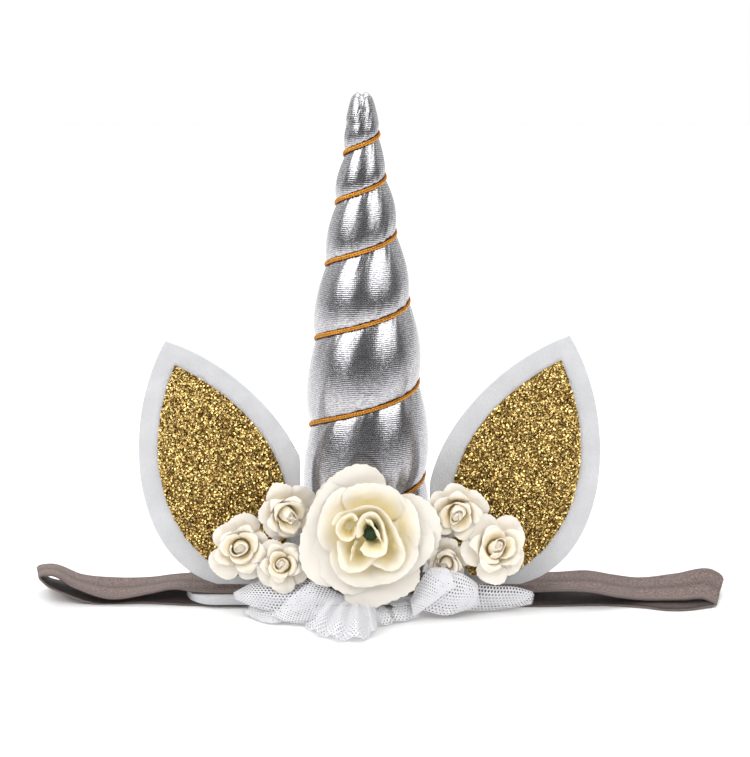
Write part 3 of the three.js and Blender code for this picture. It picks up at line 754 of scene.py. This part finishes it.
def ear_plane(ear, leaf, length, along_axis, inset):
    """Maps shares across and down a leaf to the ear's own plane, in level rows from its tip to its foot."""
    spread = ear.sign * math.radians(ear.spread)
    half, height = leaf_half(leaf, length, np.linspace(0, 1, LEAF_SAMPLES))
    edges = []
    for side in (-ear.sign, ear.sign):
        x, y = side * half, height + along_axis
        across = x * math.cos(spread) + y * math.sin(spread) + ear.sign * ear.foot
        up = -x * math.sin(spread) + y * math.cos(spread)
        above = np.cumprod(np.append(True, np.diff(up) < 0)) > 0
        limited = ear.sign * np.maximum(ear.sign * across, EAR.to_horn + inset)
        edges.append((up[above][::-1], limited[above][::-1]))
    top = min(up[-1] for up, _ in edges)

    def plane(u, v):
        level = top + (inset - top) * (0.5 - 0.5 * np.cos(np.pi * v))
        inner, outer = (np.interp(level, *edge) for edge in edges)
        return inner + (outer - inner) * u, level
    return plane


def stood_up(across, up, out):
    """Points of an ear's plane in the part's frame; out is the distance in front of its back."""
    return np.array([0, EAR.y, EAR.z]) + placed(across, up, out) @ EAR_AXES


def level_rows(plane):
    """Shares from tip to foot of an ear's plane, with its two edges, its height and its area at each."""
    rows = np.linspace(0, 1, LEVELS)
    left, level = plane(0, rows)
    right = plane(1, rows)[0]
    return rows, left, right, level, -np.abs(right - left) * np.gradient(level)


def build_ear(ear, felt):
    plane = ear_plane(ear, EAR_LEAF, ear.length, -EAR.sink, 0)

    def surface(u, v):
        return stood_up(*plane(u, v), EAR.wall / 2)

    plate = shaped("ear_felt_" + ear.side, *EAR.grid, surface, weld=True)
    ease_edges(thickened(plate, EAR.wall))
    finished(plate, felt, "ear_" + ear.side)
    _, left, right, level, areas = level_rows(plane)
    area = np.sum(areas) * MM * MM
    tall = np.ptp(level) * MM


def build_lining(ear, glitter, glitter_base):
    length = ear.length * LINING.share
    foot = ear.length - LINING.tip_inset - length - EAR.sink
    plane = ear_plane(ear, LINING_LEAF, length, foot, LINING.edge_inset)

    def surface(u, v):
        return stood_up(*plane(u, v), EAR.wall + LINING.wall / 2)

    backing = shaped("ear_glitter_backing_" + ear.side, *LINING.grid, surface, weld=True)
    thickened(backing, LINING.wall)
    finished(backing, glitter_base, "ear_lining_" + ear.side)
    flakes = scattered_flakes("ear_glitter_" + ear.side, plane)
    finished(flakes, glitter, "ear_lining_" + ear.side)


def scattered_flakes(name, plane):
    """Flakes of foil spread evenly over a lining, each tilted its own way and with its own tone."""
    count, sides = FLAKES.count, FLAKES.corners
    rows, *_, areas = level_rows(plane)
    above = np.cumsum(areas)
    across, up = plane(rng.uniform(0, 1, count), np.interp(rng.uniform(0, above[-1], count), above, rows))
    front = EAR.wall + LINING.wall
    centre = stood_up(across, up, front + rng.uniform(*FLAKES.lift, count))
    slope = np.tan(np.radians(FLAKES.tilt)) * np.sqrt(rng.uniform(0, 1, count))
    way = rng.uniform(0, TURN, count)
    corners = TURN * np.arange(sides) / sides + rng.uniform(0, TURN, count)[:, None]
    radius = FLAKES.radius * rng.uniform(*FLAKES.sizes, count)[:, None]
    x, y = radius * np.cos(corners), radius * np.sin(corners)
    rise = slope[:, None] * (x * np.cos(way)[:, None] + y * np.sin(way)[:, None])
    points = centre[:, None] + placed(x, y, rise) @ EAR_AXES
    flakes = from_arrays(name, points.reshape(-1, 3), np.arange(count * sides).reshape(-1, sides))
    tones = flakes.data.attributes.new("tone", "FLOAT", "POINT")
    tones.data.foreach_set("value", np.repeat(rng.uniform(0, 1, count), sides))
    return flakes


# Elastic loop and pad
def rounded(wave, power):
    return np.sign(wave) * np.abs(wave) ** power


def build_band():
    def section(u):
        """Places round the edge of the folded strip: across it, and through it."""
        flatness, squareness = BAND.roundness
        across = rounded(np.cos(TURN * u), flatness)
        through = rounded(np.sin(TURN * u), squareness)
        groove = BAND.groove * np.exp(-(across * BAND.width / 2 / BAND.groove_width) ** 2)
        bead = BAND.bead * smoothstep(np.abs(across), *BAND.bead_from)
        half = BAND.wall / 2 - groove + bead - BAND.hollow
        return across * BAND.width / 2, through * half

    def surface(u, v):
        route = on_loop(BAND_ROUTE, v)
        nudge = 2e-4
        ahead = on_loop(BAND_ROUTE, v + nudge)[:, :3] - on_loop(BAND_ROUTE, v - nudge)[:, :3]
        tilt = np.radians(route[:, 3])
        skew = sum(end.skew * smoothstep(route[:, 0], *end.span) for end in BAND_ENDS)
        across = placed(skew, np.cos(tilt), np.sin(tilt))
        inward = np.cross(ahead, across)
        inward /= np.linalg.norm(inward, axis=1)[:, None]
        side, through = section(u)
        points = route[:, :3] + side[:, None] * across + through[:, None] * inward
        points[:, 2] = np.maximum(points[:, 2], BAND.least_height)
        return points

    def fold(u, v):
        return np.exp(-(section(u)[0] / BAND.groove_width) ** 2)

    def selvage(u, v):
        return smoothstep(np.abs(section(u)[0]) / (BAND.width / 2), *BAND.selvage)

    # Mask of the loop's inside face, where the painted shade goes
    def inside(u, v):
        return smoothstep(np.sin(TURN * u), *BAND.inside)

    band = shaped("elastic_loop", *BAND.grid, surface, weld=True, fold=fold, selvage=selvage, inside=inside)
    finished(band, elastic_finish(), "elastic_band")


def build_pad(felt):
    def surface(u, v):
        depth = PAD.front + (PAD.back - PAD.front) * (0.5 - 0.5 * np.cos(np.pi * v))
        to_front, to_back = depth - PAD.front, PAD.back - depth
        past = np.maximum(PAD.corner - np.minimum(to_front, to_back), 0)
        half = PAD.length / 2 - PAD.corner + np.sqrt(np.maximum(PAD.corner ** 2 - past ** 2, 0))
        lift = PAD.lift * (1 - smoothstep(depth, *PAD_BEND)) + PAD.wall / 2
        return placed(PAD.x + (2 * u - 1) * half, depth, lift)

    pad = shaped("pad_felt", *PAD_GRID, surface)
    ease_edges(thickened(pad, PAD.wall))
    finished(pad, felt, "base_pad")


# Flowers
def flower_frame(place):
    """Moves points given about a flower's hub, with its axis up, to the flower's place."""
    pitch, yaw, turn = np.radians(place.facing)
    matrix = turned(yaw, "z") @ turned(math.pi / 2 - pitch, "x") @ turned(turn, "z")
    hub = np.array(place.hub)
    lean = np.array([*place.lean, 0]) / LEAN_HEIGHT ** 2

    def in_frame(points):
        leaning = points + lean * (points[:, 2:] * np.abs(points[:, 2:]))
        return hub + place.size * leaning @ matrix.T
    return in_frame


def petal(layer, angle, reach, spread, base, in_frame):
    """Surface of one petal: u goes across it and v from its hub to its rim."""
    fray = rng.uniform(*PETAL.fray)
    phases = rng.uniform(0, TURN, 5)
    bend = rng.uniform(-PETAL.bend, PETAL.bend)
    lopsided = rng.uniform(-PETAL.lopsided, PETAL.lopsided)

    def surface(u, v):
        side = PETAL.side * (2 * u - 1)
        outline = (1 - np.abs(side) ** layer.edge) ** layer.taper
        outline = outline * (1 + lopsided * side + ripple(side, PETAL.waver, phases[:1]))
        outline = outline * (1 + fray * ripple(side, PETAL.fray_waves, phases[[1, 4]]))
        outline = outline * (1 + layer.point * (np.exp(-(side / PETAL.point_width) ** 2) - 0.5))
        out = v * outline
        corner = side ** 2 * out ** 2
        run = layer.hub + (reach - layer.hub) * out ** layer.flare + layer.back * corner
        theta = math.radians(angle) + math.radians(spread) * (side + bend * np.sin(PETAL.bend_wave * out))
        height = base + layer.rise * np.sin(math.radians(layer.roll) * out) ** layer.curl
        height = height - layer.cup * corner
        for (share, power, count), phase in zip(PETAL.ruffles, phases[2:4]):
            height = height + share * layer.ruffle * out ** power * np.sin(count * side + phase)
        return in_frame(polar(run, theta, height))
    return surface


def rolled_petal(roll, in_frame):
    """Surface of a rolled petal: u runs along its rim, v from its foot to the rim, and the lip turns out."""
    phases = rng.uniform(0, TURN, 3)
    middle = np.array(roll.middle, float)

    def surface(u, v):
        away = on_line(roll.rim, u) - middle
        lip = roll.lip * smoothstep(v, ROLL.lip_from, 1) / np.linalg.norm(away, axis=1)
        opened = roll.shrink + (1 - roll.shrink) * v ** ROLL.opening + lip
        crimp = ripple(u, ROLL.crimps, phases[:2]) * v ** 3
        place = middle + away * opened[:, None] + crimp[:, None]
        top = roll.top + ripple(u, ROLL.edges, phases[1:])
        height = roll.base + (top - roll.base) * np.sin(ROLL.arch * np.pi * v)
        return in_frame(np.concatenate([place, height[:, None]], axis=1))
    return surface


def petal_depth(tone, fade):
    """How deep in the flower a point of a petal lies, for its colour: its own cream heart tone and painted
    glow.
    """
    return lambda u, v: tone + (1 - tone) * (1 - v) ** fade


def petal_layer(name, layer, petals, stuff, in_frame):
    """A ring of petals, cut from silk or paper."""
    depth = petal_depth(layer.tone, layer.fade)
    made = [shaped("petal", *stuff.grid, petal(layer, *row, in_frame), depth=depth) for row in petals]
    return thickened(joined(name, made), stuff.wall)


def rolled_layer(name, layer, in_frame):
    depth = petal_depth(layer.tone, ROLL.fade)
    made = [shaped("petal", *ROLL.grid, rolled_petal(roll, in_frame), depth=depth) for roll in layer.rolls]
    return thickened(joined(name, made), SILK.wall)


def spun(name, shares, size, in_frame):
    """A piece turned about a flower's axis, from shares of its radius and height."""
    tall = size.top - size.bottom
    profile = [(r * size.radius, size.bottom + h * tall) for r, h in shares]

    def surface(u, v):
        radius, height = smooth(np.linspace(0, 1, len(profile)), profile, v).T
        return in_frame(polar(np.maximum(radius, 0), TURN * u, height))

    def depth(u, v):
        return CORE_DEPTH.foot - CORE_DEPTH.fall * v
    return shaped(name, *size.grid, surface, weld=True, depth=depth)


def build_rose(silk, green):
    in_frame = flower_frame(ROSE)
    for layer in ROSE_LAYERS:
        piece = petal_layer(layer.node + "_silk", layer, layer.petals, SILK, in_frame)
        finished(piece, silk, layer.node)
    for layer in ROSE_ROLLS:
        piece = rolled_layer(layer.node + "_silk", layer, in_frame)
        finished(piece, silk, layer.node)
    core = spun("rose_core", CORE_SHARES, ROSE_CORE, in_frame)
    finished(core, green, "rose_centre")
    calyx = spun("rose_calyx_green", CALYX_SHARES, ROSE_CALYX, in_frame)
    finished(calyx, green, "rose_calyx")


def leaf_bit(bit):
    """A small pointed leaf that shows between the flowers."""
    turn = math.radians(bit.turn)

    def surface(u, v):
        side = 2 * u - 1
        across = side * bit.width / 2 * np.sin(np.pi * v) ** LEAF.taper
        along = (v - 0.5) * bit.length
        x = across * math.cos(turn) + along * math.sin(turn)
        z = along * math.cos(turn) - across * math.sin(turn)
        cup = LEAF.cup * side ** 2 + LEAF.arch * (v - 0.5) ** 2
        return np.array(bit.place) + placed(x, -cup, z)

    leaf = shaped("leaf", *LEAF.grid, surface, weld=True, depth=lambda u, v: v)
    return thickened(leaf, LEAF.wall)


def small_bud(in_frame):
    """A strip of paper rolled into a bud, tightest and tallest at its heart."""
    start = rng.uniform(0, TURN)
    wobble = rng.uniform(0, TURN, 2)
    bud = SMALL_BUD

    def surface(u, v):
        theta = start + TURN * bud.turns * u
        radius = bud.radius + (bud.heart - bud.radius) * u
        radius = radius * (1 + bud.wobble * np.sin(2 * theta + wobble[0]))
        radius = radius * (bud.waist + (1 - bud.waist) * np.sin(bud.arch * np.pi * v))
        radius = radius * (1 - bud.tuck * (1 - u) * v ** 3)
        top = bud.top + bud.heart_rise * u + bud.edge_wave * np.sin(3 * theta + wobble[1])
        height = bud.base + (top - bud.base) * v
        return in_frame(polar(radius, theta, height))

    strip = shaped("bud", *bud.grid, surface, depth=petal_depth(bud.tone, bud.fade))
    return thickened(strip, PAPER.wall)


def ring_of_petals(layer):
    """Places of a small rose's petals, each a little off its even place and size."""
    start = rng.uniform(0, 360)
    petals = []
    for index in range(layer.count):
        stray = rng.uniform(-SMALL_PETALS.angle, SMALL_PETALS.angle)
        angle = start + 360 * index / layer.count + stray
        reach = layer.reach * rng.uniform(*SMALL_PETALS.reach)
        spread = layer.spread * rng.uniform(*SMALL_PETALS.spread)
        petals.append((angle, reach, spread, layer.base + SMALL_PETALS.step * (index % 2)))
    return petals


def build_small_rose(place, paper, green):
    in_frame = flower_frame(place)
    name = "small_rose_" + place.name
    for part in dict.fromkeys(layer.part for layer in SMALL_LAYERS):
        layers = [layer for layer in SMALL_LAYERS if layer.part == part]
        rings = [petal_layer("ring", layer, ring_of_petals(layer), PAPER, in_frame) for layer in layers]
        finished(joined(f"{name}_{part}_paper", rings), paper, f"{name}_{part}")
    core = spun("core", CORE_SHARES, SMALL_CORE, in_frame)
    bud = joined(name + "_bud_paper", [small_bud(in_frame), core])
    finished(bud, paper, name + "_bud")
    bits = [leaf_bit(bit) for bit in LEAF_BITS if bit.rose == place.name]
    calyx = spun("calyx", CALYX_SHARES, SMALL_CALYX, in_frame)
    calyx = joined(name + "_calyx_green", [calyx, *bits])
    finished(calyx, green, name + "_calyx")


# Net ruffle
def net_sheet(sheet):
    """A sheet of six-sided cells with six-sided holes, laid between two lines."""
    phase = rng.uniform(0, TURN)

    def surface(u, v):
        start, end = on_line(sheet.inner, u), on_line(sheet.outer, u)
        notch = sheet.scallop * (1 - np.abs(np.sin(np.pi * sheet.pleats * u + phase / 2)))
        points = start + (end - start) * (v - notch * v ** 2)[:, None]
        points = points + np.sin(np.pi * np.clip(v, 0, 1))[:, None] * np.array(sheet.bulge)
        fold = sheet.depth * np.sin(TURN * sheet.pleats * u + phase)
        fold = NET_FOLD.share * fold * (NET_FOLD.inner + (1 - NET_FOLD.inner) * v)
        points[:, 1] -= fold
        points[:, 2] = np.maximum(points[:, 2] + fold, NET_FOLD.least_height)
        return points

    width, length = sheet.size
    columns = round(width / NET.cell)
    rows = round(length / (NET.cell * math.sqrt(3) / 2))
    column, row = (values.ravel() for values in np.meshgrid(np.arange(columns), np.arange(rows)))
    middle = np.stack([(column + 0.5 * (row % 2) + 0.25) / columns, (row + 0.5) / rows], axis=-1)
    corners = TURN * (np.arange(6) + 0.5) / 6
    hexagon = np.stack([np.cos(corners) / math.sqrt(3) / columns, np.sin(corners) * 2 / 3 / rows], axis=-1)
    shares = np.concatenate([middle[:, None] + hexagon, middle[:, None] + sheet.hole * hexagon], axis=1)
    points = surface(*shares.reshape(-1, 2).T)
    corner = np.arange(6)
    following = (corner + 1) % 6
    ring = np.stack([corner, following, following + 6, corner + 6], axis=-1)
    faces = (np.arange(len(middle))[:, None, None] * 12 + ring).reshape(-1, 4)
    return welded(from_arrays("net", points, faces))


def build_net(net):
    for node in dict.fromkeys(sheet.node for sheet in NET_SHEETS):
        sheets = [sheet for sheet in NET_SHEETS if sheet.node == node]
        made = [net_sheet(sheet) for sheet in sheets]
        piece = thickened(joined(node + "_net", made), NET.thread)
        finished(piece, net, node)


# Stage
def around_target(azimuth, elevation, distance):
    a, e = math.radians(azimuth), math.radians(elevation)
    offset = np.array([math.sin(a) * math.cos(e), -math.cos(a) * math.cos(e), math.sin(e)])
    return np.array(CAMERA.target) + distance * offset


def place_camera():
    bpy.ops.object.camera_add(location=around_target(0, CAMERA.elevation, CAMERA.distance))
    camera = bpy.context.object
    camera.rotation_euler = (math.radians(90 - CAMERA.elevation), 0, 0)
    camera.data.sensor_fit = "VERTICAL"
    camera.data.sensor_height = SENSOR
    camera.data.lens = SENSOR * CAMERA.distance / (IMAGE_HEIGHT * MM_PER_PIXEL * MM)
    bpy.context.scene.camera = camera


def lay_floor():
    bpy.ops.mesh.primitive_plane_add(size=FLOOR_SIZE)
    floor = bpy.context.object
    floor.name = "floor"
    floor.data.materials.append(Finish("pale_floor", roughness=0.9, base_color=FLOOR_COLOUR).material)


def hang_softboxes():
    for box in SOFTBOXES:
        place = around_target(box.azimuth, box.elevation, box.distance)
        bpy.ops.object.light_add(type="AREA", location=place)
        light = bpy.context.object
        light.name = box.name
        light.data.size = box.size
        light.data.energy = box.power
        light.visible_glossy = box.gloss
        light.rotation_euler = (math.radians(90 - box.elevation), 0, math.radians(box.azimuth))


def light_dome():
    world = bpy.data.worlds.new("dome")
    world.use_nodes = True
    bpy.context.scene.world = world
    wiring = Wiring(world.node_tree)
    depth = wiring.node("SeparateXYZ", {}, {0: wiring.coordinates("Generated")}, "Y")
    glow = wiring.ramp(depth, DOME.turn, (DOME.front, DOME.back))
    seen = wiring.node("LightPath", {}, {}, "Is Camera Ray")
    background = world.node_tree.nodes["Background"]
    wiring.plug(background.inputs["Strength"], glow.maths("MAXIMUM", glow, seen))
    wiring.plug(background.inputs["Color"], WHITE)
    bpy.context.scene.view_settings.view_transform = "Standard"


felt_material = felt_finish()
green_material = grained_finish(
    "leaf_green", (900, 3), (10, 30, 14), (40, 78, 40), (900, 3), 0.0002, roughness=0.7)
# Heart colours: the cream of the flowers' hearts, lightened to paint the glow of light shining through the
# petals
silk_material = petal_finish("ivory_silk", (230, 224, 214), (249, 232, 168), 700, 1.3)
paper_material = petal_finish("cream_paper", (235, 228, 217), (241, 220, 164), 1300, 1.2)
glitter_material = glitter_finish()
glitter_base_material = grained_finish(
    "gold_glitter_base", (1800, 2), (62, 42, 10), (166, 124, 52), (1800, 2), 0.0003,
    metallic=0.6, roughness=0.5)
net_material = grained_finish(
    "white_net", (500, 2), (217, 216, 220), (235, 235, 238), (4000, 2), 0.00004,
    roughness=0.6, sheen_weight=0.2)

build_horn()
build_cord()
for ear_row in EARS:
    build_ear(ear_row, felt_material)
    build_lining(ear_row, glitter_material, glitter_base_material)
build_band()
build_pad(felt_material)
build_rose(silk_material, green_material)
for rose_row in SMALL_ROSES:
    build_small_rose(rose_row, paper_material, green_material)
build_net(net_material)

place_camera()
lay_floor()
hang_softboxes()
light_dome()
